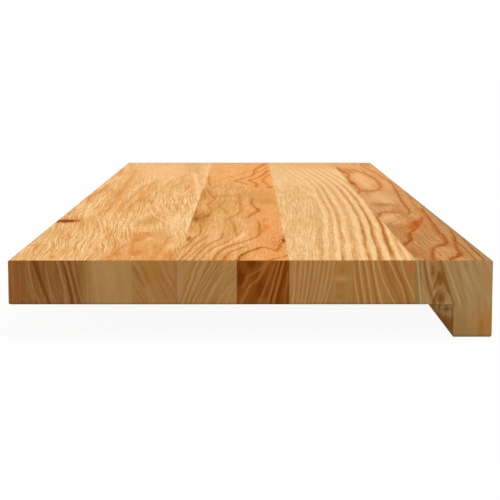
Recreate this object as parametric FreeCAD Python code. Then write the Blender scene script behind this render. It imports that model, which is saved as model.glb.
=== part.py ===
# Stair tread for covering an old step: seven flat oak staves and a moulded nosing stave, glued
# edge to edge, with a triangular block glued into the corner behind the nosing's lip.
# Frame in millimetres: +X along the tread, +Y towards the back of the step, +Z up.
# The origin is under the tread's middle, level with the bottom of the lip.
import FreeCAD, Part
import os

Vector = FreeCAD.Vector

# Driving dimensions, in millimetres
tread_length = 800.0
board_thickness = 23.0
lip_drop = 17.0
lip_thickness = 20.0
block_width = 13.0
nosing_width = 40.0
# Flat staves from the back of the tread to the nosing
stave_widths = {
    "back_stave": 40.0,
    "stave_2": 24.0,
    "stave_3": 23.0,
    "stave_4": 31.0,
    "stave_5": 27.0,
    "stave_6": 33.0,
    "stave_7": 32.0,
}
# Sanded arrises: the long outer edges, and the edges round both end faces
long_edge_radius = 1.0
end_edge_radius = 0.5

# Places that follow from the driving dimensions
tread_depth = sum(stave_widths.values()) + nosing_width
back_y = tread_depth / 2
front_y = -tread_depth / 2
lip_back_y = front_y + lip_thickness
block_back_y = lip_back_y + block_width
nosing_joint_y = front_y + nosing_width
left_x = -tread_length / 2
lip_bottom_z = 0.0
board_bottom_z = lip_bottom_z + lip_drop
board_top_z = board_bottom_z + board_thickness

# How close an edge's middle has to be to a plane or a line to count as lying on it
near = 0.001


def block(low_y, high_y, low_z, high_z):
    """A square block over the tread's whole length, between two depths and two heights."""
    corner = Vector(left_x, low_y, low_z)
    return Part.makeBox(tread_length, high_y - low_y, high_z - low_z, corner)


def middle(edge):
    """The point halfway along an edge."""
    return edge.valueAt((edge.FirstParameter + edge.LastParameter) / 2)


def is_at(point, y, z):
    """Whether a point is on the lengthwise line at that depth and height."""
    return abs(point.y - y) < near and abs(point.z - z) < near


def sharp_section():
    """The glued-up section before sanding: board, lip and the block's slope in one outline."""
    outline = [
        (back_y, board_bottom_z),
        (back_y, board_top_z),
        (front_y, board_top_z),
        (front_y, lip_bottom_z),
        (lip_back_y, lip_bottom_z),
        (block_back_y, board_bottom_z),
    ]
    points = [Vector(left_x, y, z) for y, z in outline]
    return Part.Face(Part.makePolygon(points + points[:1]))


def sanded_tread():
    """The whole tread as one form, moulded along its length and with its arrises eased."""
    tread = sharp_section().extrude(Vector(tread_length, 0, 0))
    eased_lines = [
        (back_y, board_bottom_z),
        (back_y, board_top_z),
        (front_y, board_top_z),
        (front_y, lip_bottom_z),
    ]
    long_edges = [
        edge for edge in tread.Edges
        if any(is_at(middle(edge), y, z) for y, z in eased_lines)
    ]
    tread = tread.makeFillet(long_edge_radius, long_edges)
    end_edges = [
        edge for edge in tread.Edges
        if abs(abs(middle(edge).x) - tread_length / 2) < near
    ]
    return tread.makeFillet(end_edge_radius, end_edges)


def flat_staves(tread):
    """The flat staves, laid from the back edge forwards, each cut from the sanded tread."""
    staves = {}
    high_y = back_y
    for name, width in stave_widths.items():
        low_y = high_y - width
        staves[name] = tread.common(block(low_y, high_y, board_bottom_z, board_top_z))
        high_y = low_y
    return staves


def nosing_stave(tread):
    """The front stave with its lip, moulded from one piece into an L."""
    flat_part = block(front_y, nosing_joint_y, board_bottom_z, board_top_z)
    lip = block(front_y, lip_back_y, lip_bottom_z, board_bottom_z)
    return tread.common(flat_part.fuse(lip).removeSplitter())


def corner_block(tread):
    """The triangular block that fills the corner between the lip and the underside."""
    return tread.common(block(lip_back_y, block_back_y, lip_bottom_z, board_bottom_z))


def main():
    """Makes each piece and writes it to its own file."""
    tread = sanded_tread()
    pieces = flat_staves(tread)
    pieces["nosing_stave"] = nosing_stave(tread)
    pieces["corner_block"] = corner_block(tread)
    os.makedirs("parts", exist_ok=True)
    for name, piece in pieces.items():
        solid = piece.Solids[0]
        print(name, "solids", len(piece.Solids), "valid", solid.isValid(), "volume", round(solid.Volume))
        solid.exportStep("parts/" + name + ".step")


main()
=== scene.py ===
# The looks of an oak stair tread: camera, floor, light, and the wood of each glued-up stave.
# The wood's features are placed in millimetres: along from the end that the camera faces,
# across from the back edge, and deep below the walking surface.
import math
import bpy
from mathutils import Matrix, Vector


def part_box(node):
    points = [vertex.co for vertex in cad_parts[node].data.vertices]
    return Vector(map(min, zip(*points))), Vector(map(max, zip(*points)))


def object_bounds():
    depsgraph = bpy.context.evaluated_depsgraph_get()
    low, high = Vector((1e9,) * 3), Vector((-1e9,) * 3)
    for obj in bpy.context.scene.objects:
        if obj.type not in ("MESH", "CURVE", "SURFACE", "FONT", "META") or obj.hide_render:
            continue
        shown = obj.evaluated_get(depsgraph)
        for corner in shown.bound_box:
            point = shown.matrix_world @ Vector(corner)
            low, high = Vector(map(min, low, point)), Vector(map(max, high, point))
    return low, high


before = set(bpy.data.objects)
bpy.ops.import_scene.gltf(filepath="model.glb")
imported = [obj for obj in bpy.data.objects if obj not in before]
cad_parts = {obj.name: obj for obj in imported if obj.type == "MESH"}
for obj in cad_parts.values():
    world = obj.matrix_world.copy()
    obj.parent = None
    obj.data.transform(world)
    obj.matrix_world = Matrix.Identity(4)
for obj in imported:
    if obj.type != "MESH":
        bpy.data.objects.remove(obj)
cad_low, cad_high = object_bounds()

millimetre = 0.001
tread_length = (cad_high.x - cad_low.x) / millimetre
board_thickness = (cad_high.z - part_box("stave_2")[0].z) / millimetre
# The furthest across that a growth line can be placed, a little past the front edge
line_reach = 300.0
# Over how much of its run a growth line fades away, on the long sides and on the sawn ends
along_fade = 25.0
deep_fade = 3.0
# How near the board's underside a line on its end may stop and still count as running right through
deep_margin = 1.0
# Down to which depth the streaks of a sawn end lean, as those in the lip stand upright
lean_depth = 21.0
# In widths of a growth line: how sharply it sets in, and how far the warmer wood round it reaches
line_onset = 0.2
halo_reach = 3.5
# How strong a growth line's soft tail is beside the line itself
tail_strength = 0.6
# Where rows of pores break a growth line: its strength between the pores and at them
broken_line = (0.55, 1.25)
# A growth ring, in shares of the way to the next one: where it darkens, and where it ends
ring_darkens = (0.2, 0.9)
ring_ends = (1.0, 0.93)
# How far noise carries the growth rings sideways, in spacings of the rings
ring_drift = 3.0

# Noise lies between 0 and 1 round its middle, and a seed of 1 moves it this far along each axis
noise_middle = 0.5
seed_step = (1.37, 1.71, 1.13)
# Between which levels of noise each of these comes in
dark_streaks = (noise_middle, 0.7)
light_streaks = (noise_middle, 0.3)
open_pores = (0.58, 0.7)
pore_specks = (0.44, 0.58)
line_pores = (0.3, 0.62)
ring_patches = (0.3, 0.65)

# The camera stands off the near end, just above the tread, and looks along it and slightly down
camera_gap = 0.7846
camera_rise = 0.0996
camera_side = 0.0011
camera_pitch = math.radians(6.85)
camera_yaw = math.radians(-0.062)
camera_lens = 110.6
camera_reach = 100.0

# How much lighter the sawn ends are painted than their tones are written: painted light that makes up for
# the less light that falls on them
painted_end_light = 0.05

# Light levels, at which a colour on an upward face renders about as it is written
sky_strength = 0.62
backdrop_strength = 1.0
lamp_strength = 1.5
lamp_spread = math.radians(60.0)
lamp_tilt_from_front = math.radians(26.0)
lamp_tilt_from_far_end = math.radians(10.0)
floor_half_width = 30.0
floor_colour = (0.75, 0.75, 0.75, 1.0)
floor_shadow_share = 0.06

# The wood's surface: bare and sanded, matt, with open pores
wood_roughness = 0.86
roughness_change = 0.2
wood_gloss = 0.02
relief_strength = 0.5
relief_height = 0.00025

white = (1.0, 1.0, 1.0, 1.0)
endless = 1e6


def srgb(red, green, blue):
    """A colour given as a picture's numbers, from 0 to 255, as linear light by the sRGB standard."""
    def linear(level):
        share = level / 255
        return share / 12.92 if share <= 0.04045 else ((share + 0.055) / 1.055) ** 2.4
    return (linear(red), linear(green), linear(blue), 1.0)


def plug(tree, source, socket):
    """Feeds a socket from another node, or sets its plain value."""
    if isinstance(source, Value):
        tree.links.new(source.socket, socket)
    else:
        socket.default_value = source


def new_node(tree, kind, *sources, **settings):
    """A shader node with these settings, whose first inputs get these values."""
    node = tree.nodes.new("ShaderNode" + kind)
    for setting, choice in settings.items():
        setattr(node, setting, choice)
    for source, socket in zip(sources, node.inputs):
        plug(tree, source, socket)
    return node


def made(tree, kind, *sources, **settings):
    """The first output of such a node."""
    return Value(tree, new_node(tree, kind, *sources, **settings).outputs[0])


class Value:
    """A number, point, colour or shader worked out at every point of a surface by a material's nodes."""

    def __init__(self, tree, socket):
        self.tree = tree
        self.socket = socket

    def math(self, operation, *others):
        """What a Math node makes of this value and the others."""
        return made(self.tree, "Math", self, *others, operation=operation)

    def __add__(self, other):
        return self.math("ADD", other)

    def __sub__(self, other):
        return self.math("SUBTRACT", other)

    def __mul__(self, other):
        return self.math("MULTIPLY", other)

    def __truediv__(self, other):
        return self.math("DIVIDE", other)

    def size(self):
        """The value without its sign."""
        return self.math("ABSOLUTE")

    def larger(self, other):
        return self.math("MAXIMUM", other)

    def scaled(self, factors, shifts):
        """A point with each coordinate multiplied by its factor and shifted."""
        return made(self.tree, "VectorMath", self, factors, shifts, operation="MULTIPLY_ADD")

    def length(self):
        """How far a point is from the origin."""
        node = new_node(self.tree, "VectorMath", self, operation="LENGTH")
        return Value(self.tree, node.outputs["Value"])

    def split(self):
        """The three coordinates of a point."""
        node = new_node(self.tree, "SeparateXYZ", self)
        return [Value(self.tree, output) for output in node.outputs]

    def ramp(self, none, full):
        """A smooth change from 0 where the value is none to 1 where it is full."""
        return made(
            self.tree, "MapRange", self, none, full, interpolation_type="SMOOTHSTEP", clamp=False)

    def between(self, low, high):
        """A number that goes from low to high as the value goes from 0 to 1."""
        return self * (high - low) + low

    def curve(self, points, reach, rise):
        """A smooth line through points, read at this share of its reach, as a share of its rise."""
        node = new_node(self.tree, "FloatCurve")
        line = node.mapping.curves[0]
        halfway = 0.5
        while len(line.points) < len(points):
            line.points.new(halfway, halfway)
        for point, (x, y) in zip(line.points, points):
            point.location = (x / reach, y / rise)
        node.mapping.update()
        plug(self.tree, self, node.inputs["Value"])
        return Value(self.tree, node.outputs["Value"])


def mixed(tree, base, tone, amount):
    """One colour laid over another, by an amount from 0 to 1."""
    # The node has sockets of the same names for each kind of data, so those for colours go by number
    below, above, result = 6, 7, 2
    node = new_node(tree, "Mix", amount, data_type="RGBA")
    plug(tree, base, node.inputs[below])
    plug(tree, tone, node.inputs[above])
    return Value(tree, node.outputs[result])


def new_group(name, inputs, outputs):
    """An empty node group with sockets of the given kinds."""
    group = bpy.data.node_groups.new(name, "ShaderNodeTree")
    for direction, sockets in (("INPUT", inputs), ("OUTPUT", outputs)):
        for socket, kind in sockets.items():
            group.interface.new_socket(socket, in_out=direction, socket_type="NodeSocket" + kind)
    return group


def growth_line_group():
    """Lays a growth line over a colour: sharp on one side, with a soft tail on the other and a halo."""
    names = ("Off", "Width", "Tail", "Run", "Start", "Stop", "Fade", "Amount", "Grain", "Glow")
    tones = ("Colour", "Tone", "Halo")
    inputs = {name: "Color" for name in tones}
    inputs.update({name: "Float" for name in names})
    group = new_group("growth_line", inputs, {"Colour": "Color"})
    inlet = group.nodes.new("NodeGroupInput")
    off, width, tail, run, start, stop, fade, amount, grain, glow = (
        Value(group, inlet.outputs[name]) for name in names)
    colour, tone, halo = (Value(group, inlet.outputs[name]) for name in tones)
    core = off.size().ramp(width, 0.0)
    trail = off.ramp(width * -line_onset, width * line_onset) * off.ramp(tail, 0.0) * tail_strength
    around = off.size().ramp(width * halo_reach, 0.0) * glow
    strength = run.ramp(start, start + fade) * run.ramp(stop, stop - fade) * amount
    colour = mixed(group, colour, halo, around * strength)
    colour = mixed(group, colour, tone, core.larger(trail) * grain * strength)
    outlet = group.nodes.new("NodeGroupOutput")
    plug(group, colour, outlet.inputs["Colour"])
    return group


growth_line = growth_line_group()


class Place:
    """Where a point of the wood is, in millimetres, and which way its surface faces."""

    def __init__(self, tree):
        self.tree = tree
        coordinates = new_node(tree, "TexCoord")
        per_metre = 1 / millimetre
        point = Value(tree, coordinates.outputs["Object"]).scaled(
            (per_metre, -per_metre, -per_metre),
            (-cad_low.x * per_metre, cad_high.y * per_metre, cad_high.z * per_metre))
        self.along, self.across, self.deep = point.split()
        endways, _, upwards = Value(tree, coordinates.outputs["Normal"]).split()
        self.endways = endways.size()
        self.upwards = upwards

    def leaning(self, lean):
        """Which line of the grain a point is on, where the grain leans by a share of its depth."""
        return self.across + self.deep * lean


class Wood:
    """The colour and relief of one side of the wood, painted layer by layer along its grain."""

    def __init__(self, place, ground, run, run_length, fade):
        self.place = place
        self.tree = place.tree
        self.colour = ground
        self.run = run
        self.run_length = run_length
        self.share = run / run_length
        self.fade = fade
        self.grain = 1.0
        self.halo = ground
        self.glow = 0.0
        self.move(place.across)

    def move(self, across):
        """Says which line of the grain each point lies on."""
        self.across = across
        self.point = made(self.tree, "CombineXYZ", self.place.along, across, self.place.deep)

    def noise(self, along, across, deep=12.0, detail=2.0, seed=0.0):
        """Soft noise from 0 to 1, in blotches of these sizes along, across and deep."""
        shifts = [seed * step for step in seed_step]
        mapping = new_node(self.tree, "Mapping", self.point, shifts)
        mapping.inputs["Scale"].default_value = (1 / along, 1 / across, 1 / deep)
        node = new_node(self.tree, "TexNoise", Value(self.tree, mapping.outputs["Vector"]))
        node.inputs["Scale"].default_value = 1.0
        node.inputs["Detail"].default_value = detail
        return Value(self.tree, node.outputs["Fac"])

    def waver(self, height, along, across, deep=12.0, seed=0.0):
        """Sways the grain sideways, by up to about half this height."""
        sway = self.noise(along, across, deep, seed=seed) - noise_middle
        self.move(sway.math("MULTIPLY_ADD", height * 2, self.across))

    def tint(self, tone, amount):
        """Lays a tone over the wood, by an amount from 0 to 1."""
        self.colour = mixed(self.tree, self.colour, tone, amount)

    def shade(self, amount):
        """Darkens or lightens the wood by a share."""
        node = new_node(self.tree, "HueSaturation")
        plug(self.tree, self.colour, node.inputs["Color"])
        plug(self.tree, amount + 1.0, node.inputs["Value"])
        self.colour = Value(self.tree, node.outputs["Color"])

    def fibres(self, amount, along=26.0, across=0.55, deep=0.8, seed=0.0):
        """Fine fibres, as small changes of brightness that also make the relief."""
        self.relief = self.noise(along, across, deep, seed=seed)
        self.shade((self.relief - noise_middle) * (2 * amount))

    def pores(self, tone, amount, along=9.0, across=0.8, deep=1.0, seed=0.0):
        """Short dark dashes where vessels are cut open, sunk into the surface."""
        self.vessels = self.noise(along, across, deep, detail=1.0, seed=seed)
        level = self.vessels.ramp(*open_pores)
        self.tint(tone, level * amount)
        self.relief = self.relief - level

    def streaks(self, dark, light, amount, along, across, seed=0.0, deep=12.0):
        """Soft streaks of a darker and a lighter tone."""
        level = self.noise(along, across, deep, seed=seed)
        self.tint(dark, level.ramp(*dark_streaks) * amount)
        self.tint(light, level.ramp(*light_streaks) * amount)

    def rings(self, tone, amount, spacing, along=70.0, seed=0.0):
        """Close growth lines, each darkening slowly and ending sharply, of changing strength."""
        drift = self.noise(2 * along, 3 * spacing, seed=seed)
        turn = (self.across / spacing + drift * ring_drift).math("FRACT")
        strength = self.noise(along, 2 * spacing, seed=seed + 1.0).ramp(*ring_patches)
        self.tint(tone, turn.ramp(*ring_darkens) * turn.ramp(*ring_ends) * strength * amount)

    def open_lines(self, halo, glow):
        """Breaks the growth lines that follow into rows of pores, in a halo of this tone and strength."""
        self.grain = self.vessels.ramp(*line_pores).between(*broken_line)
        self.specks = self.vessels.ramp(*pore_specks)
        self.halo = halo
        self.glow = glow

    def settle(self, across, sway, size, ragged, seed):
        """Gives the lines and spots that follow their plain places, ragged and swayed a little.

        sway is how far they stray along their run and across it, in waves of this size; size and
        ragged, the size of the ragged edges, are given along, across and deep.
        """
        self.ragged = self.noise(*ragged, detail=3.0, seed=seed) - noise_middle
        shift = self.noise(*size, seed=seed) - noise_middle
        along_run, sideways = sway
        self.run = shift.math("MULTIPLY_ADD", 2 * along_run, self.run)
        self.share = self.run / self.run_length
        self.move(shift.math("MULTIPLY_ADD", 2 * sideways, across))

    def line(self, tone, amount, points, width, tail=0.0, fade=None):
        """A growth line through points (run, across), where a negative tail falls towards the back.

        It fades away at its ends, unless they are at the edges of the wood.
        """
        middle = self.share.curve(points, self.run_length, line_reach)
        off = middle.math("MULTIPLY_ADD", -line_reach, self.across)
        if tail < 0:
            off = off * -1.0
        fade = fade or self.fade
        start, stop = points[0][0], points[-1][0]
        if start <= 0:
            start = -fade
        if stop >= self.run_length:
            stop = self.run_length + fade
        node = new_node(self.tree, "Group", node_tree=growth_line)
        sources = {
            "Colour": self.colour, "Tone": tone, "Off": off, "Width": width, "Tail": max(abs(tail), width),
            "Run": self.run, "Start": start, "Stop": stop, "Fade": fade, "Amount": amount,
            "Halo": self.halo, "Grain": self.grain, "Glow": self.glow,
        }
        for name, source in sources.items():
            plug(self.tree, source, node.inputs[name])
        self.colour = Value(self.tree, node.outputs["Colour"])

    def spot(self, tone, amount, middle, size, soft):
        """An oval mark with a ragged soft rim; middle and size are given along, across and deep."""
        factors = [2 / length for length in size]
        shifts = [-centre * factor for centre, factor in zip(middle, factors)]
        rim = self.point.scaled(factors, shifts).length() + self.ragged
        self.tint(tone, rim.ramp(1.0 + soft / 2, 1.0 - soft) * amount)

    def mark(self, tone, amount, middle, size, depth=20.0, soft=0.8):
        """A spot on the walking surface, with its middle and size given along and across."""
        self.spot(tone, amount, (*middle, 0.0), (*size, depth), soft)

    def end_mark(self, tone, amount, middle, size, soft=0.8):
        """A spot on the sawn ends, with its middle and size given across and deep."""
        self.spot(tone, amount, (0.0, *middle), (endless, *size), soft)


def board(place, ground):
    """Wood whose grain runs along the tread."""
    return Wood(place, ground, place.along, tread_length, along_fade)


def wavy_board(place):
    """The back board: fine wavy growth lines that drift to the back edge, and a knot on that edge."""
    wood = board(place, srgb(239, 187, 124))
    # How far the grain has drifted at each place along
    bend = [(0, 0), (25, 0.6), (50, 2), (100, 5.5), (200, 12), (260, 15), (400, 19), (800, 26)]
    drift = wood.share.curve(bend, tread_length, line_reach)
    wood.move(drift.math("MULTIPLY_ADD", line_reach, place.leaning(0.7)))
    wood.waver(4.5, 110, 26)
    wood.waver(place.along.ramp(160, 10) * 5, 55, 13, seed=8)
    wood.waver(1, 20, 15, seed=3)
    wood.waver(0.35, 8, 6, seed=5)
    wood.streaks(srgb(224, 164, 92), srgb(250, 200, 142), 0.85, 130, 9)
    wood.tint(srgb(255, 220, 166), place.across.ramp(79, 86) * place.along.ramp(90, 200) * 0.75)
    wood.rings(srgb(204, 132, 50), 0.7, 2.8, seed=2)
    wood.streaks(srgb(202, 136, 58), srgb(255, 222, 166), 0.75, 60, 1, seed=7)
    wood.fibres(0.11)
    wood.pores(srgb(170, 100, 30), 0.5)
    wood.open_lines(srgb(228, 152, 78), 0.5)
    wood.settle(place.leaning(0.3), (3, 1.4), (40, 9, 12), (14, 2.2, 4), 9)
    wood.tint(srgb(246, 192, 132), place.along.ramp(420, 640) * 0.5)
    amber = srgb(206, 122, 38)
    golden = srgb(212, 138, 54)
    olive = srgb(204, 150, 78)
    cream = srgb(255, 214, 156)
    wood.mark(srgb(236, 176, 112), 0.5, (90, 70), (180, 30), depth=30)
    wood.mark(srgb(224, 148, 76), 0.55, (10, 67), (180, 40), depth=30)
    wood.mark(olive, 0.75, (202, 60), (80, 16))
    wood.mark(srgb(214, 166, 90), 0.6, (128, 8), (70, 12))
    wood.mark(srgb(218, 172, 104), 0.55, (480, 59), (110, 20))
    wood.mark(srgb(252, 190, 132), 0.5, (690, 42), (170, 44))
    wood.mark(cream, 0.5, (195, 78), (110, 14))
    wood.mark(golden, 0.8, (106, 61.5), (60, 8))
    wood.mark(amber, 0.6, (14, 21), (18, 4), depth=12)
    wood.mark(amber, 0.6, (18, 82), (44, 7), depth=12)
    wood.mark(srgb(206, 130, 56), 0.75, (27, 53.6), (22, 5))
    wood.mark(srgb(204, 122, 50), 0.75, (32, 64), (24, 7))
    wood.mark(srgb(206, 144, 68), 0.6, (60, 73), (30, 5))
    wood.mark(srgb(214, 150, 78), 0.6, (68, 5), (12, 14), depth=12)
    wood.mark(srgb(220, 164, 100), 0.5, (122, 74.5), (50, 10))
    wood.mark(cream, 0.5, (64, 80.5), (36, 9))
    wood.line(amber, 0.6, [(0, 51), (20, 52), (40, 53), (62, 54.5), (90, 56)], 2.2, 4)
    wood.line(amber, 0.5, [(14, 64), (35, 61), (54, 60), (95, 57.6), (124, 58), (138, 60.5)], 2.6, 4, 8)
    wood.line(amber, 0.55, [(100, 67), (120, 65.5), (140, 61.5)], 2.4, -4, 8)
    wood.mark(srgb(200, 120, 50), 0.7, (93, 59.4), (14, 4.5))
    wood.mark(cream, 0.45, (102, 66.5), (20, 4))
    wood.line(cream, 0.7, [(168, 86), (175, 80), (182, 76), (210, 68), (250, 59), (290, 56)], 1.4)
    wood.line(golden, 0.6, [(0, 74), (50, 76), (130, 78)], 2.2, 4)
    wood.line(golden, 0.45, [(210, 43.5), (300, 41), (420, 43), (540, 42)], 2.4, 4)
    wood.line(golden, 0.4, [(250, 36), (330, 33), (420, 37), (520, 37)], 2, 3)
    wood.line(golden, 0.55, [(250, 26), (400, 24), (500, 21), (600, 19), (700, 15)], 2.6, 4)
    wood.line(amber, 0.5, [(330, 9), (380, 3), (430, 6), (520, 4)], 2.4, 3)
    wood.line(amber, 0.5, [(590, 8), (610, 6), (650, 4), (720, 2)], 2.6, -3)
    wood.line(olive, 0.35, [(610, 11), (650, 12), (700, 11), (740, 8), (800, 3)], 2.4, 3)
    wood.line(olive, 0.6, [(460, 56), (520, 66), (590, 65), (640, 68)], 1.8, 3)
    wood.line(olive, 0.4, [(620, 77), (650, 76), (700, 75), (740, 73)], 2.4, 3)
    wood.line(olive, 0.4, [(660, 70), (700, 67), (760, 65), (800, 62)], 2.6, 4)
    wood.mark(srgb(220, 172, 114), 0.5, (735, 70), (180, 18))
    wood.line(cream, 0.6, [(400, 85), (460, 83), (560, 78), (660, 74)], 3.5)
    wood.mark(srgb(214, 134, 66), 0.6, (203, 5), (50, 30), depth=30)
    wood.mark(srgb(148, 70, 0), 1, (201, 6), (23, 18), depth=30, soft=0.5)
    return wood


def flamed_board(place):
    """The second board: orange, with tongues of growth lines at both ends and knots on its joint."""
    wood = board(place, srgb(230, 169, 103))
    wood.move(place.leaning(0.7))
    wood.waver(3, 90, 22, seed=5)
    wood.waver(0.7, 16, 6, seed=6)
    wood.streaks(srgb(216, 156, 84), srgb(242, 186, 126), 0.8, 140, 8, seed=2)
    wood.rings(srgb(200, 130, 48), 0.5, 3.2, seed=4)
    wood.streaks(srgb(204, 136, 58), srgb(252, 204, 144), 0.55, 36, 1.4, seed=17)
    wood.fibres(0.12)
    wood.pores(srgb(164, 88, 20), 0.55)
    wood.open_lines(srgb(226, 146, 66), 0.25)
    wood.settle(place.leaning(0.35), (2, 0.8), (16, 5, 12), (12, 2, 4), 9)
    wood.tint(srgb(240, 160, 90), wood.across.ramp(118, 132) * 0.6)
    wood.tint(srgb(238, 184, 124), wood.across.ramp(118, 104) * place.along.ramp(180, 80) * 0.25)
    wood.tint(srgb(246, 174, 106), place.along.ramp(430, 600) * 0.55)
    brown = srgb(164, 84, 4)
    rust = srgb(190, 104, 24)
    amber = srgb(214, 124, 42)
    golden = srgb(204, 132, 52)
    umber = srgb(178, 112, 36)
    pale = srgb(255, 206, 146)
    wood.mark(srgb(238, 184, 130), 0.6, (125, 104), (90, 14))
    wood.mark(srgb(208, 156, 84), 0.5, (300, 103), (190, 26))
    wood.mark(srgb(208, 148, 76), 0.6, (385, 133), (150, 36))
    wood.mark(srgb(198, 138, 64), 0.5, (348, 137), (56, 14))
    wood.mark(srgb(196, 138, 66), 0.5, (392, 104), (24, 26))
    wood.mark(srgb(222, 174, 116), 0.6, (184, 126), (50, 8))
    wood.mark(srgb(240, 178, 122), 0.5, (345, 122), (90, 6))
    wood.mark(srgb(206, 142, 68), 0.7, (225, 93), (110, 12))
    wood.line(umber, 0.8, [
        (36, 86), (73, 90), (104, 92.5), (130, 95), (160, 94.5), (184, 92), (200, 88)], 1.1, 2)
    wood.line(umber, 0.8, [(0, 88), (37, 91.5), (73, 94), (104, 98.8), (130, 100)], 1.1, 2)
    wood.line(umber, 0.7, [(0, 91.5), (30, 94.5), (60, 97.5), (90, 101.5)], 0.9, 1.5)
    wood.line(umber, 0.8, [
        (0, 95), (48, 99), (78, 103), (97, 107.5), (120, 108.5), (150, 108)], 1.2, 2)
    wood.line(umber, 0.6, [(98, 118), (120, 117), (150, 116), (200, 113)], 1.6, 2, 14)
    wood.line(umber, 0.6, [(0, 99), (40, 102.5), (66, 107), (84, 112), (104, 115)], 0.9, 1.5)
    wood.line(umber, 0.9, [
        (0, 106), (30, 107.5), (43, 109.4), (66, 114), (84, 121), (100, 126), (114, 129.5), (134, 130.5),
        (210, 130)], 1.5, 2.5)
    wood.line(pale, 0.6, [(20, 103), (45, 106), (64, 110), (88, 116), (100, 119), (136, 122)], 1.6)
    wood.line(pale, 0.9, [(92, 115), (104, 118), (118, 120.5), (132, 121)], 2, 0, 8)
    wood.line(rust, 0.9, [(0, 111), (27, 113), (40, 115), (52, 119), (64, 122)], 1.5, 3, 8)
    wood.line(brown, 1, [
        (0, 118.5), (10, 119.2), (26, 121), (40, 125), (51, 129), (62, 132)], 2.3, 3, 5)
    wood.line(rust, 0.9, [(36, 140), (43, 138), (51, 135), (62, 131.5)], 2, 3, 6)
    wood.line(rust, 0.95, [(38, 138.5), (54, 140.5), (73, 142), (90, 144), (120, 145)], 1.8, 2, 6)
    wood.line(rust, 0.9, [(0, 135), (8, 138), (14, 142), (24, 146)], 1.8, 3, 4)
    wood.line(amber, 0.8, [(126, 131), (145, 133), (170, 135), (185, 134)], 2.4, 4, 10)
    wood.line(amber, 0.6, [(190, 135), (205, 134), (225, 136)], 2, 3, 10)
    wood.line(golden, 0.8, [
        (190, 112.5), (215, 111), (235, 114), (252, 117), (345, 117.5), (430, 116)], 1.8, 3)
    wood.line(golden, 0.7, [
        (240, 109), (265, 108.5), (282, 106.5), (306, 103.5), (330, 105), (370, 108)], 1.8, 3)
    wood.line(rust, 0.75, [
        (206, 123.5), (238, 125), (250, 127), (262, 129.5), (276, 131), (288, 130.3), (302, 128),
        (320, 126.7), (390, 127)], 2.4, -3)
    wood.mark(srgb(176, 98, 28), 0.7, (274, 130.5), (34, 4))
    wood.mark(srgb(196, 112, 46), wood.specks * 0.7, (90, 141.5), (130, 9))
    wood.mark(srgb(146, 84, 18), wood.specks, (228, 92.5), (84, 10))
    wood.mark(srgb(160, 98, 34), wood.specks * 0.8, (410, 90), (120, 10))
    wood.line(golden, 0.5, [(130, 88), (260, 88), (330, 88.5), (470, 88)], 2.2, 3)
    wood.line(brown, 0.8, [(222, 95), (238, 97), (252, 97.5)], 2.2, 3, 8)
    wood.line(rust, 0.6, [
        (235, 97.5), (275, 98), (300, 96), (320, 95), (340, 96), (362, 98.5), (390, 96.5),
        (425, 93.5), (480, 90)], 1.6, 2.5)
    wood.line(brown, 0.5, [(480, 93), (510, 91.5), (540, 90), (620, 88)], 1.8, 3)
    wood.line(rust, 0.85, [
        (500, 124), (522, 119.5), (535, 114.5), (552, 112.8), (566, 116), (582, 120), (600, 125.5),
        (630, 128.5), (700, 130.5), (740, 135), (790, 141)], 1.8, 4, 14)
    wood.line(rust, 0.95, [
        (470, 129), (500, 130.5), (520, 130), (537, 127), (553, 124.6), (570, 128), (590, 132.5),
        (615, 136), (690, 143)], 2, 4, 14)
    wood.line(amber, 0.9, [
        (466, 145), (490, 141), (520, 138), (560, 136.5), (600, 140), (640, 144)], 2.4, 4, 12)
    wood.line(amber, 0.8, [(640, 130), (662, 133), (690, 138), (740, 143)], 1.8, 3, 14)
    wood.line(amber, 0.7, [(700, 130), (722, 133.5), (750, 138.5), (800, 142)], 2, 4, 14)
    wood.line(golden, 0.5, [(560, 98), (600, 108), (640, 119), (690, 122)], 2, 4)
    wood.mark(srgb(196, 108, 30), 0.8, (476, 141), (16, 6), depth=12)
    wood.mark(srgb(140, 62, 0), 0.9, (90, 144.5), (18, 3.2), depth=12, soft=0.5)
    wood.mark(srgb(158, 90, 22), 0.85, (100, 89.5), (28, 4))
    wood.mark(srgb(150, 84, 20), 0.8, (216, 89.5), (44, 5))
    wood.mark(srgb(176, 106, 40), 0.7, (258, 88), (50, 3))
    return wood


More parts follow.
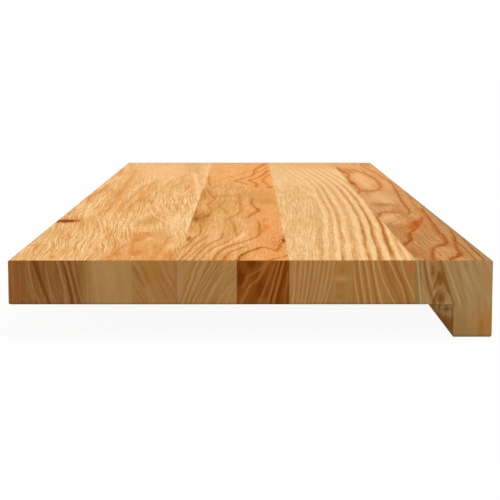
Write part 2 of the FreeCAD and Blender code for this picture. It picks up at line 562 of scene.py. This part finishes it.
def striped_board(place):
    """The third board: quiet and cream at the back, with bold bands that bend towards the front."""
    wood = board(place, srgb(236, 188, 126))
    near_drift = 20
    # How far the grain has drifted at each place along
    bend = [
        (0, near_drift), (100, 24.5), (200, 29), (300, 31.3), (400, 31.5), (500, 30.5), (600, 25), (700, 18),
        (800, 12),
    ]
    drift = wood.share.curve(bend, tread_length, line_reach)
    wood.move(drift.math("MULTIPLY_ADD", -line_reach, place.leaning(0.3) + near_drift))
    wood.waver(1.2, 60, 12, seed=4)
    wood.waver(0.35, 12, 1.6, seed=5)
    wood.streaks(srgb(226, 174, 110), srgb(248, 208, 152), 0.7, 160, 8, seed=6)
    wood.rings(srgb(198, 140, 70), 0.45, 2, 50, seed=22)
    wood.streaks(srgb(204, 146, 78), srgb(255, 220, 168), 0.5, 36, 1.1, seed=21)
    # How dark the bands are at each place across
    bands = [
        (0, 0.4), (145, 0.4), (159, 0.4), (161.5, 0.55), (164, 0.2), (166, 0.3), (168.3, 0.6), (170.5, 0.15),
        (172, 0.3), (173.6, 0.8), (175.4, 0.15), (178, 0.35), (180, 0.65), (182.5, 0.2), (184.7, 0.2),
        (186.4, 1), (188.3, 0.2), (190.6, 0.2), (192.2, 0.85), (194.4, 0.3), (196.8, 0.2), (198.8, 1),
        (200.8, 0.25), (202.8, 0.2), (204.6, 0.6), (206.6, 0.1), (210, 0.7), (300, 0.5),
    ]
    level = (wood.across / line_reach).curve(bands, line_reach, 1)
    wood.fibres(0.13, seed=8)
    wood.pores(srgb(176, 112, 44), 0.55, seed=8)
    uneven = wood.noise(60, 4, seed=23).ramp(0.35, 0.6).between(0.6, 1.1)
    boldness = place.along.ramp(900, 200).between(0.44, 0.94) * uneven
    wood.tint(srgb(198, 126, 46), level.ramp(0.35, 1) * boldness)
    wood.tint(srgb(255, 210, 154), level.ramp(0.45, 0.15) * 0.55)
    dark = srgb(164, 96, 22)
    wood.line(dark, 0.7, [(0, 172.3), (16, 172.6), (34, 172.8)], 0.7, 1)
    wood.line(dark, 0.7, [(80, 186.8), (105, 187.4), (130, 187.4), (160, 186.8)], 1.4, 2)
    wood.line(dark, 0.7, [(0, 191.6), (30, 191.8), (75, 192), (150, 192), (250, 192), (330, 192)], 0.8, 1.5)
    wood.line(dark, 0.8, [(14, 198.6), (50, 198.6), (110, 199), (170, 199.2), (250, 199)], 1.2, 1.8)
    wood.tint(srgb(222, 172, 108), place.along.ramp(170, 260) * 0.08)
    wood.tint(srgb(250, 204, 146), place.along.ramp(420, 560) * 0.38)
    wood.tint(srgb(234, 168, 98), place.along.ramp(640, 760) * 0.3)
    wood.tint(srgb(234, 164, 90), place.along.ramp(690, 740) * place.across.ramp(150, 175) * 0.4)
    return wood


def nosing_board(place):
    """The nosing: red-brown lines that wander, a pale closed ring, and a paler far half."""
    wood = board(place, srgb(192, 138, 80))
    wood.tint(srgb(216, 160, 101), place.along.ramp(150, 260))
    wood.tint(srgb(243, 180, 116), place.along.ramp(380, 540))
    wood.move(place.leaning(0.6))
    wood.waver(3, 90, 18, seed=13)
    wood.waver(0.7, 16, 7, seed=12)
    wood.streaks(srgb(178, 118, 60), srgb(224, 166, 110), 0.55, 150, 8, seed=14)
    wood.rings(srgb(160, 92, 34), 0.25, 3, seed=18)
    wood.streaks(srgb(166, 104, 46), srgb(234, 176, 118), 0.4, 50, 1.6, seed=15)
    wood.fibres(0.14, seed=16)
    wood.pores(srgb(140, 80, 24), 0.65, 6, 1, seed=16)
    wood.open_lines(srgb(204, 122, 52), 0.3)
    wood.settle(place.leaning(0.4), (2, 0.8), (15, 5, 12), (12, 2, 4), 19)
    rust = srgb(158, 74, 6)
    brown = srgb(168, 98, 28)
    golden = srgb(194, 116, 42)
    pink = srgb(238, 178, 124)
    wood.tint(srgb(188, 144, 88), wood.across.ramp(236, 244) * place.along.ramp(340, 80) * 0.8)
    wood.mark(srgb(172, 94, 40), 0.6, (30, 213), (44, 6))
    wood.mark(pink, 0.85, (214, 217), (64, 18))
    wood.mark(pink, 0.75, (370, 224), (110, 24))
    wood.mark(srgb(164, 110, 54), 0.6, (318, 221), (30, 18))
    wood.mark(srgb(242, 188, 130), 0.6, (565, 223), (200, 16), soft=0.6)
    wood.line(rust, 0.85, [
        (50, 209), (75, 213), (90, 217), (125, 220), (150, 226), (180, 231.5), (210, 237),
        (240, 240)], 1.6, -4)
    wood.line(rust, 0.8, [
        (0, 219), (30, 222.5), (50, 225), (60, 228.6), (68, 233), (78, 235.8), (150, 239.4),
        (300, 246)], 2, -4)
    wood.line(rust, 0.8, [
        (0, 227.5), (10, 230.5), (16, 233.8), (31, 236.8), (54, 238.3), (80, 241), (120, 244)], 1.6, 3)
    wood.line(srgb(148, 86, 26), 0.9, [
        (0, 241), (60, 242.5), (84, 242.4), (110, 244.5), (160, 247)], 1, 1.6)
    wood.line(srgb(112, 66, 20), 0.9, [(0, 245.2), (30, 246), (66, 247), (120, 249.5)], 0.9, 1.2)
    wood.line(brown, 0.5, [(176, 211), (192, 215), (208, 221), (226, 227)], 1.8, 3, 8)
    wood.line(brown, 0.45, [(198, 211), (210, 216), (224, 222), (240, 226)], 1.6, 3, 8)
    wood.line(brown, 0.9, [(222, 210), (240, 211.5), (252, 213), (262, 217)], 2.2, 2, 6)
    wood.mark(srgb(186, 114, 50), 0.85, (261, 222), (16, 24))
    wood.mark(srgb(190, 122, 60), 0.7, (278, 225), (22, 7))
    wood.line(brown, 0.85, [
        (238, 228), (250, 232.5), (265, 234.5), (330, 236.5), (400, 240), (430, 241.5), (500, 245),
        (560, 245)], 1.8, 3, 8)
    wood.line(golden, 0.8, [
        (540, 245), (600, 244), (650, 242), (700, 239.5), (750, 237.5), (800, 240)], 1.8, 3)
    wood.line(golden, 0.7, [(225, 243), (300, 243), (350, 245), (400, 248), (450, 249)], 1.6, 2)
    wood.line(golden, 1, [
        (395, 209), (420, 210), (440, 213), (500, 213), (590, 213), (620, 215.5), (650, 215),
        (740, 208)], 2.4, 3)
    wood.line(golden, 1, [
        (432, 219), (445, 227), (470, 231.5), (500, 234.5), (540, 236), (600, 235), (650, 231),
        (700, 223)], 2.4, -4, 10)
    wood.line(brown, 0.6, [(0, 262), (180, 257), (400, 254), (620, 257), (800, 263)], 1.2, 4)
    wood.line(brown, 0.55, [(0, 269), (220, 263), (420, 259), (640, 262), (800, 268)], 1.3, 4)
    wood.line(srgb(192, 94, 22), 1, [(146, 224), (165, 226), (188, 230), (214, 236)], 5.4, 0, 12)
    wood.line(rust, 0.8, [(64, 210), (78, 213.5), (92, 217), (112, 219), (132, 221)], 2.4, 0, 10)
    wood.line(rust, 0.9, [(2, 228.6), (10, 231), (17, 234.5), (34, 237)], 3.4, 0, 6)
    wood.line(rust, 0.8, [(640, 214.5), (665, 213), (708, 209.7), (740, 208)], 1.8, 2, 12)
    wood.mark(srgb(176, 72, 10), 0.7, (184, 230), (30, 4))
    # Painted shade along the rounded front edge of the walking surface, stronger towards the near end
    front_edge_shade = wood.across.ramp(245.5, 249) * wood.across.ramp(252, 250.4)
    wood.tint(srgb(164, 124, 78), front_edge_shade * place.along.ramp(560, 240).between(0.3, 0.75))
    wood.mark(rust, 0.6, (67, 232), (18, 9))
    wood.mark(srgb(180, 94, 24), 0.9, (522, 212.5), (52, 7), soft=0.7)
    wood.mark(srgb(196, 118, 50), 0.8, (438, 219), (34, 12))
    wood.mark(srgb(208, 130, 60), 0.8, (668, 220), (84, 11))
    return wood


def sawn_end(place, ground, lean, spacing, dark, light, amount, seed):
    """Sawn end grain, with soft streaks that lean across the thickness by a share of its depth."""
    # How long each blotch is along the tread, which a sawn end shows in section
    lengthways = 30
    wood = Wood(place, ground, place.deep, board_thickness - deep_margin, deep_fade)
    wood.move(place.across - place.deep.math("MINIMUM", lean_depth) * lean)
    wood.waver(0.3 * spacing, lengthways, 3 * spacing, 8, seed=seed)
    wood.streaks(dark, light, amount, lengthways, spacing, seed, 25)
    wood.streaks(dark, light, 0.6 * amount, lengthways, 0.4 * spacing, seed + 5, 12)
    wood.fibres(0.05, lengthways, 0.6, 2.5, seed)
    wood.pores(dark, 0.3, lengthways, 0.7, 0.7, seed)
    wood.settle(place.across, (0, 0.25), (lengthways, 3, 4), (lengthways, 1.2, 2), seed)
    return wood


def back_end(place):
    """Dark brown: fine upright lines at the back, a darker streak, and leaning pale streaks."""
    dark = srgb(120, 66, 18)
    light = srgb(182, 130, 76)
    wood = sawn_end(place, srgb(155, 103, 53), 0.18, 2.2, srgb(132, 79, 32), srgb(176, 126, 74), 0.75, 1)
    wood.end_mark(srgb(154, 92, 44), 0.7, (5, 10), (13, 40), soft=0.5)
    for strength, top, bottom, width in ((0.6, 2.4, 2.8, 0.6), (0.5, 5.7, 6.2, 0.6), (0.6, 9, 9.9, 0.7)):
        wood.line(srgb(168, 116, 64), strength, [(0, top), (22, bottom)], width)
    wood.line(light, 0.7, [(0, 10.4), (9, 11.5), (22, 15.7)], 1)
    wood.line(dark, 0.9, [(0, 13.4), (5, 14.8), (9, 16.3), (14, 18), (22, 20.9)], 1.7, -2)
    wood.line(light, 0.6, [(0, 19.5), (10, 20.5), (22, 24)], 0.8)
    wood.line(light, 0.85, [(0, 25.4), (11, 28.1), (22, 30.2)], 0.9)
    wood.line(dark, 0.6, [(0, 28), (9, 30.4), (22, 32.6)], 1.5)
    wood.line(light, 0.85, [(0, 29.2), (9, 31.9), (22, 34.6)], 0.8)
    wood.line(dark, 0.5, [(0, 31.2), (9, 33.6), (22, 36.6)], 1)
    wood.line(light, 0.7, [(0, 32.8), (11, 35.2), (22, 38)], 0.7)
    wood.line(dark, 0.4, [(0, 34.8), (22, 38.9)], 0.6)
    wood.line(light, 0.5, [(0, 35.8), (22, 39.8)], 0.5)
    wood.end_mark(srgb(176, 128, 74), 0.55, (40, 10), (5, 60), soft=0.9)
    return wood


def plain_end(place):
    """Tan and almost plain, with a few faint brown lines near the back stave."""
    brown = srgb(162, 114, 60)
    wood = sawn_end(place, srgb(187, 142, 86), 0.1, 4.5, srgb(178, 132, 78), srgb(194, 148, 90), 0.5, 2)
    wood.end_mark(brown, 0.5, (39.5, 10), (7, 60), soft=0.9)
    wood.line(brown, 0.6, [(0, 40.6), (12, 41.6), (22, 42.4)], 0.6)
    wood.line(brown, 0.45, [(0, 42.4), (12, 43.2), (22, 44.4)], 0.6)
    return wood


def feathered_end(place):
    """Tan brown, with short strokes that fall towards the front and an orange patch."""
    dark = srgb(160, 104, 46)
    wood = sawn_end(place, srgb(182, 131, 71), 0.55, 2.4, srgb(166, 112, 54), srgb(193, 143, 86), 0.8, 3)
    wood.end_mark(srgb(184, 124, 54), 0.8, (75, 6), (9, 12))
    wood.waver(0.8, 30, 4, 2.4, seed=32)
    wood.line(dark, 0.9, [(2, 64.4), (4, 65.3), (11, 68.7), (15, 71)], 1, 1.6, 3)
    wood.line(dark, 0.6, [(0, 66.6), (7, 70.4), (13, 73.2)], 0.7, 1.4, 3)
    wood.line(dark, 0.5, [(7, 75.6), (14, 79), (21, 82.4)], 0.7, 1.6, 3)
    wood.line(dark, 0.6, [(0, 79.6), (9, 83.7), (16, 87.4)], 0.8, 1.6, 3)
    wood.end_mark(srgb(172, 112, 54), 0.6, (87, 10), (4, 20))
    return wood


def risen_end(place):
    """Olive tan, with strokes that rise towards the front and flatten out."""
    dark = srgb(160, 108, 48)
    light = srgb(204, 156, 98)
    wood = sawn_end(place, srgb(185, 136, 76), -0.55, 2.2, srgb(170, 118, 58), srgb(198, 150, 92), 0.65, 4)
    wood.end_mark(srgb(192, 144, 94), 0.6, (88.5, 12), (5, 36))
    wood.waver(0.8, 30, 4, 2.4, seed=31)
    wood.line(dark, 0.6, [(0, 96.4), (11.5, 92.4), (22, 89)], 0.8, 1.4)
    wood.line(light, 0.6, [(0, 98), (11, 93.9), (22, 90.4)], 0.7)
    wood.line(dark, 0.7, [(0, 99.8), (10.5, 95.5), (22, 91.4)], 0.8, 1.4)
    wood.line(light, 0.6, [(0, 101.6), (11, 96.7), (22, 92.9)], 0.7)
    wood.line(dark, 0.8, [(0, 103.6), (7, 100.9), (14, 98), (22, 93.9)], 0.9, 1.5)
    wood.line(light, 0.6, [(0, 106), (9, 100.8), (22, 95.3)], 0.7)
    wood.line(dark, 0.6, [(0, 109.2), (5, 106.4), (14, 100.9), (22, 96.4)], 0.8, 1.4)
    wood.line(light, 0.5, [(0, 112.4), (8, 105.6), (22, 98.4)], 0.7)
    wood.line(dark, 0.5, [(1.5, 118), (5, 112.1), (13, 104.9), (22, 100.2)], 0.8, 1.6)
    wood.line(light, 0.4, [(3, 118), (9, 110.6), (15, 105.4), (22, 101.8)], 0.7)
    wood.line(dark, 0.4, [(7, 119), (13.4, 112.1), (22, 106)], 0.8, 1.8)
    wood.line(light, 0.35, [(10, 119), (16, 112.4), (22, 108.4)], 0.8)
    return wood


def red_end(place):
    """Dark red-brown, with bent pale lines at the back and a bundle of leaning ones at the front."""
    dark = srgb(112, 48, 0)
    light = srgb(190, 122, 58)
    wood = sawn_end(place, srgb(144, 77, 20), -0.3, 2.2, srgb(126, 61, 6), srgb(164, 97, 38), 0.6, 5)
    wood.end_mark(dark, 0.8, (119.5, 9), (7, 13))
    wood.end_mark(dark, 0.7, (125.5, 2), (7, 6))
    wood.end_mark(dark, 0.5, (130.5, 15), (6, 10))
    wood.line(light, 0.55, [
        (0, 134.4), (6.2, 131.2), (10.7, 128.2), (12.6, 125.4), (17.9, 122.4), (22, 120.2)], 1.9)
    wood.line(light, 0.45, [
        (0, 132.3), (5.8, 128.6), (7.4, 124.8), (11.7, 122.4), (16, 119.8)], 2, 0, 3)
    wood.line(light, 0.5, [(0, 138), (6.2, 135.8), (11.8, 133.6), (22, 129.6)], 1.3)
    wood.line(light, 0.7, [(0, 139.8), (5, 138.8), (11.7, 136.8), (22, 134)], 1)
    wood.line(dark, 0.7, [(0, 141), (11, 138), (22, 135.4)], 0.8)
    wood.line(light, 0.7, [(0, 142.2), (11.7, 139.4), (22, 136.8)], 1)
    wood.line(dark, 0.6, [(0, 143.4), (11, 141), (22, 139)], 1)
    wood.line(light, 0.45, [(4, 144.4), (14, 143.5), (22, 142.6)], 0.6)
    wood.end_mark(srgb(170, 112, 52), 0.5, (131, 22), (7, 6))
    return wood


def upright_end(place):
    """Tan, with close pale lines that stand nearly upright, then a blotched patch at the front."""
    dark = srgb(164, 108, 46)
    light = srgb(206, 156, 98)
    wood = sawn_end(place, srgb(184, 133, 73), -0.16, 1.6, srgb(170, 116, 56), srgb(198, 148, 90), 0.6, 6)
    tops = (148.3, 151.2, 153.6, 156.2, 158.6, 161, 163.4, 165.9, 168.3)
    leans = (1.6, 2, 2.5, 3.1, 3.4, 3.8, 4.1, 4.4, 4.7)
    strengths = (0.75, 0.5, 0.7, 0.8, 0.5, 0.7, 0.45, 0.75, 0.6)
    # Halfway down, a line has leaned by this share, and a weaker dark line runs this far in front of it
    half_lean = 0.4
    dark_gap = 1.3
    dark_share = 0.6
    for top, lean, strength in zip(tops, leans, strengths):
        pair = ((light, strength, top, 0.8), (dark, dark_share * strength, top + dark_gap, 0.7))
        for tone, amount, start, width in pair:
            wood.line(tone, amount, [(0, start), (11, start - half_lean * lean), (22, start - lean)], width)
    wood.end_mark(srgb(182, 132, 70), 0.9, (174.2, 11), (9, 40), soft=0.6)
    wood.end_mark(light, 0.5, (172, 9.5), (10, 3.5))
    wood.end_mark(srgb(180, 118, 48), 0.7, (172.4, 4.8), (5, 5))
    wood.end_mark(srgb(178, 118, 50), 0.7, (171.3, 13.2), (6, 4))
    wood.end_mark(srgb(164, 118, 58), 0.6, (171.3, 18.5), (6, 4))
    return wood


def fanned_end(place):
    """Tan brown, with pale lines that fan out towards the front as they go down."""
    dark = srgb(162, 100, 40)
    light = srgb(212, 160, 98)
    wood = sawn_end(place, srgb(182, 127, 66), 0.25, 1.8, srgb(168, 110, 52), srgb(192, 140, 80), 0.5, 7)
    pale_lines = (
        (0.8, 177.9, 178.7, 180.7, 0.8), (0.85, 180.9, 182.2, 184.2, 0.8), (0.85, 184.2, 185.8, 187.5, 0.8),
        (1, 188, 189.6, 192.7, 0.9), (0.8, 190.6, 193.2, 199.3, 0.8),
    )
    for strength, top, middle, bottom, width in pale_lines:
        wood.line(light, strength, [(0, top), (9.6, middle), (22, bottom)], width)
    wood.line(light, 0.85, [(0, 196.4), (8.4, 200.3), (15, 203.3), (22, 205.3)], 0.9)
    wood.line(light, 0.85, [(0, 202.3), (9.6, 205.4), (15.5, 208), (22, 210.6)], 0.9)
    for top, middle, bottom in ((179.6, 180.6, 182.6), (182.8, 184.2, 186), (186.4, 188, 190.4)):
        wood.line(dark, 0.55, [(0, top), (9.6, middle), (22, bottom)], 0.9)
    wood.line(dark, 0.7, [(0, 198.6), (8, 202.2), (15, 204.8), (22, 206.6)], 1.3, -2.5)
    wood.line(dark, 0.5, [(0, 193.4), (10, 197), (22, 202.6)], 1.2, -2)
    wood.end_mark(srgb(192, 116, 54), 0.7, (207.6, 5), (3.6, 8))
    return wood


def swirled_end(place):
    """The nosing and its lip: a pale band, a dark swirl, then greenish tan that turns orange below."""
    dark = srgb(140, 84, 26)
    light = srgb(204, 164, 112)
    brown = srgb(166, 122, 70)
    wood = sawn_end(place, srgb(181, 144, 94), 0.4, 2.4, srgb(162, 123, 72), srgb(198, 162, 112), 0.65, 8)
    wood.end_mark(srgb(172, 124, 66), 0.8, (221.5, 10), (14, 30), soft=0.6)
    wood.end_mark(srgb(160, 121, 67), 0.8, (211.4, 10), (5, 40), soft=0.5)
    wood.line(srgb(212, 176, 122), 0.9, [(0, 210.9), (9.6, 211.9), (22, 212.9)], 0.6)
    wood.line(dark, 0.85, [(0, 214.6), (12.6, 216.6), (18.5, 218.7), (24, 221)], 0.9, -1.5)
    wood.line(light, 0.7, [(0, 216.1), (8.4, 217.5), (15, 219.4), (24, 222.6)], 0.7)
    wood.end_mark(dark, 0.75, (219, 5.4), (2.6, 8), soft=0.9)
    wood.line(dark, 0.75, [(4.5, 222.4), (9, 221.6), (14, 219.8), (17, 218.8)], 1.2, 0, 3)
    wood.end_mark(dark, 0.9, (222.9, 9.5), (3.8, 9.5))
    wood.line(dark, 0.75, [(6, 223.6), (11, 225), (15, 226.6), (19, 228.2)], 1.2, 0, 3)
    wood.line(light, 0.5, [(12, 224.6), (14.5, 222.6), (17, 220.4), (21, 218.9)], 0.8, 0, 3)
    wood.line(dark, 0.8, [(14.5, 222.8), (18, 220.9), (22, 219.6)], 1.3, 0, 3)
    wood.end_mark(dark, 0.9, (223.2, 19.8), (5.5, 7.5))
    wood.line(dark, 0.7, [(0, 222.8), (12.6, 226.6), (22, 229.9)], 1.2, -1.8, 3)
    wood.line(light, 0.7, [(0, 225.2), (7.8, 228.2), (17.3, 231.4), (22, 233)], 1)
    wood.line(brown, 0.6, [(0, 227.6), (10, 230.8), (24, 235.4)], 0.7, 1.5, 6)
    wood.line(brown, 0.5, [(0, 230.4), (10, 233.4), (22, 236.6)], 0.7, 1.5, 6)
    wood.end_mark(srgb(180, 144, 95), 0.6, (243.5, 12), (14, 22))
    wood.end_mark(srgb(174, 133, 74), 0.8, (234, 33), (12, 18))
    wood.end_mark(srgb(188, 130, 60), 0.95, (248, 34), (15, 24), soft=1)
    wood.end_mark(srgb(168, 114, 52), 0.6, (244.5, 34), (3, 12), soft=1)
    wood.end_mark(srgb(192, 140, 80), 0.5, (248, 9), (10, 12))
    return wood


def block_end(place):
    """Greenish brown, reddish along the lower part of its slope, dark at its glued top."""
    # How far forward the block's slope comes for each millimetre down, and where it would meet the top
    slope = 0.765
    slope_start = 200.5
    wood = sawn_end(place, srgb(144, 107, 59), -0.5, 1.8, srgb(118, 79, 35), srgb(168, 132, 82), 0.9, 9)
    from_slope = place.across - place.deep * slope - slope_start
    lower_part = place.deep.ramp(25, 29) * place.deep.ramp(37, 34.5)
    wood.tint(srgb(136, 78, 26), from_slope.ramp(3.4, 0.8) * lower_part * 0.85)
    wood.end_mark(srgb(146, 78, 16), 0.9, (229.4, 32.2), (5, 5.5))
    wood.end_mark(srgb(166, 131, 84), 0.7, (227.4, 27.6), (4.5, 3))
    wood.end_mark(srgb(116, 80, 38), 0.7, (226.2, 25.4), (5, 1.8))
    glue_line = 0.9
    wood.shade(place.deep.ramp(board_thickness + glue_line, board_thickness) * -0.4)
    return wood


def wood_group(name, paint):
    """A node group that gives the colour and the relief of one kind of wood."""
    group = new_group(name, {}, {"Colour": "Color", "Relief": "Float"})
    wood = paint(Place(group))
    outlet = group.nodes.new("NodeGroupOutput")
    plug(group, wood.colour, outlet.inputs["Colour"])
    plug(group, wood.relief, outlet.inputs["Relief"])
    return group


def grouped(tree, group):
    """The colour and the relief that a wood's group gives in a material."""
    node = new_node(tree, "Group", node_tree=group)
    return Value(tree, node.outputs["Colour"]), Value(tree, node.outputs["Relief"])


def mark_edges(wood, place, name, on_end):
    """Paints shade on a stave's arrises and rims on top, darkens its joints, paints shade on its foot and
    its lower arrises, and paints light on its sawn ends.
    """
    # Strengths of the painted shade on the top arrises and rims, of the dark joints, and of the painted
    # shade at the foot and on the lower arrises
    arris_shade_strength, rim_shade_strength, far_rim_share = 0.55, 0.5, 0.7
    joint_shade, foot_shade, lower_arris_shade = -0.1, -0.2, -0.45
    # Painted shade along the rounded top arrises of the sawn ends
    on_arris = place.endways.ramp(0.1, 0.3) * place.endways.ramp(0.95, 0.6)
    on_top = place.upwards.ramp(0.2, 0.5)
    wood.tint(srgb(174, 122, 68), on_arris * on_top * arris_shade_strength)
    # Painted shade along the back edge and the far end of the walking surface
    back_rim = place.across.ramp(1.4, 0.2)
    far_rim = place.along.ramp(tread_length - 26.0, tread_length - 4.0) * far_rim_share
    wood.tint(srgb(192, 140, 88), back_rim.larger(far_rim) * on_top * rim_shade_strength)
    low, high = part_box(name)
    back_joint = (cad_high.y - high.y) / millimetre
    front_joint = (cad_high.y - low.y) / millimetre
    foot = (cad_high.z - low.z) / millimetre
    from_joint = (place.across - back_joint).math("MINIMUM", place.across * -1.0 + front_joint)
    joint_mark = from_joint.ramp(0.5, 0.1) * joint_shade
    # Painted shade at the foot of each sawn end
    foot_painted_shade = place.deep.ramp(foot - 1.8, foot - 0.4) * foot_shade
    # On the sawn ends: darkened joints, painted shade at the foot, and painted light over the whole end
    wood.shade((joint_mark + foot_painted_shade + painted_end_light) * on_end)
    # Painted shade on the lower arrises, which face down
    wood.shade(place.endways.ramp(0.2, 0.6) * place.upwards.ramp(-0.1, -0.5) * lower_arris_shade)


def oak(name, board_group, end_group):
    """One stave's material: long grain on its sides, end grain on its sawn ends, dark joints, and painted
    shade and light at its edges and ends.
    """
    material = bpy.data.materials.new(name + "_oak")
    material.use_nodes = True
    tree = material.node_tree
    place = Place(tree)
    long_colour, long_relief = grouped(tree, board_group)
    end_colour, end_relief = grouped(tree, end_group)
    on_end = place.endways.ramp(0.45, 0.8)
    wood = board(place, mixed(tree, long_colour, end_colour, on_end))
    mark_edges(wood, place, name, on_end)
    relief = (end_relief - long_relief).math("MULTIPLY_ADD", on_end, long_relief)
    shader = tree.nodes["Principled BSDF"]
    shader.inputs["Specular IOR Level"].default_value = wood_gloss
    roughness = relief.math("MULTIPLY_ADD", -roughness_change, wood_roughness + roughness_change / 2)
    bump = new_node(tree, "Bump")
    bump.inputs["Strength"].default_value = relief_strength
    bump.inputs["Distance"].default_value = relief_height
    plug(tree, relief, bump.inputs["Height"])
    plug(tree, wood.colour, shader.inputs["Base Color"])
    plug(tree, roughness, shader.inputs["Roughness"])
    plug(tree, Value(tree, bump.outputs["Normal"]), shader.inputs["Normal"])
    return material


def dress_staves():
    """Gives each stave its own oak."""
    boards = {
        wavy_board: {"back_stave": back_end, "stave_2": plain_end, "stave_3": feathered_end},
        flamed_board: {"stave_4": risen_end, "stave_5": red_end},
        striped_board: {"stave_6": upright_end, "stave_7": fanned_end},
        nosing_board: {"nosing_stave": swirled_end, "corner_block": block_end},
    }
    for paint_board, ends in boards.items():
        board_group = wood_group(paint_board.__name__, paint_board)
        for name, paint_end in ends.items():
            material = oak(name, board_group, wood_group(paint_end.__name__, paint_end))
            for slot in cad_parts[name].material_slots:
                slot.material = material


def placed(data):
    """A new object in the scene that has the name of its data."""
    thing = bpy.data.objects.new(data.name, data)
    bpy.context.scene.collection.objects.link(thing)
    return thing


def make_camera():
    """The camera at the photograph's place, in front of the near end."""
    data = bpy.data.cameras.new("camera")
    camera = placed(data)
    data.lens = camera_lens
    data.clip_end = camera_reach
    camera.location = (cad_low.x - camera_gap, camera_side, cad_high.z + camera_rise)
    camera.rotation_euler = (math.pi / 2 - camera_pitch, 0.0, camera_yaw - math.pi / 2)
    bpy.context.scene.camera = camera


def lit_for_camera(tree, seen, unseen):
    """One shader where the camera, a reflection or a view through glass sees it, and another elsewhere."""
    path = new_node(tree, "LightPath")
    sees = Value(tree, path.outputs["Is Camera Ray"])
    for ray in ("Is Glossy Ray", "Is Transmission Ray"):
        sees = sees.larger(Value(tree, path.outputs[ray]))
    return made(tree, "MixShader", sees, unseen, seen)


def make_sky():
    """An even white sky, softer as light than it looks."""
    world = bpy.data.worlds.new("sky")
    bpy.context.scene.world = world
    world.use_nodes = True
    tree = world.node_tree
    tree.nodes.clear()
    shown = made(tree, "Background", white, backdrop_strength)
    light = made(tree, "Background", white, sky_strength)
    new_node(tree, "OutputWorld", lit_for_camera(tree, shown, light))


def make_floor():
    """A pale floor, seen as white apart from the tread's soft shadow."""
    corners = [(-1, -1), (1, -1), (1, 1), (-1, 1)]
    mesh = bpy.data.meshes.new("floor")
    points = [(x * floor_half_width, y * floor_half_width, cad_low.z) for x, y in corners]
    mesh.from_pydata(points, [], [(0, 1, 2, 3)])
    floor = placed(mesh)
    material = bpy.data.materials.new("floor_paint")
    material.use_nodes = True
    tree = material.node_tree
    tree.nodes.clear()
    paint = made(tree, "BsdfDiffuse", floor_colour)
    shadowed = made(tree, "BsdfDiffuse", white)
    shown = made(tree, "MixShader", floor_shadow_share, made(tree, "Emission", white), shadowed)
    new_node(tree, "OutputMaterial", lit_for_camera(tree, shown, paint))
    mesh.materials.append(material)


def make_lamp():
    """One very soft lamp, far above, a little in front of the nosing and past the far end."""
    data = bpy.data.lights.new("lamp", "SUN")
    data.angle = lamp_spread
    data.energy = lamp_strength
    lamp = placed(data)
    lamp.rotation_euler = (lamp_tilt_from_front, lamp_tilt_from_far_end, 0.0)


make_camera()
make_sky()
make_floor()
make_lamp()
dress_staves()
bpy.context.scene.view_settings.view_transform = "Standard"
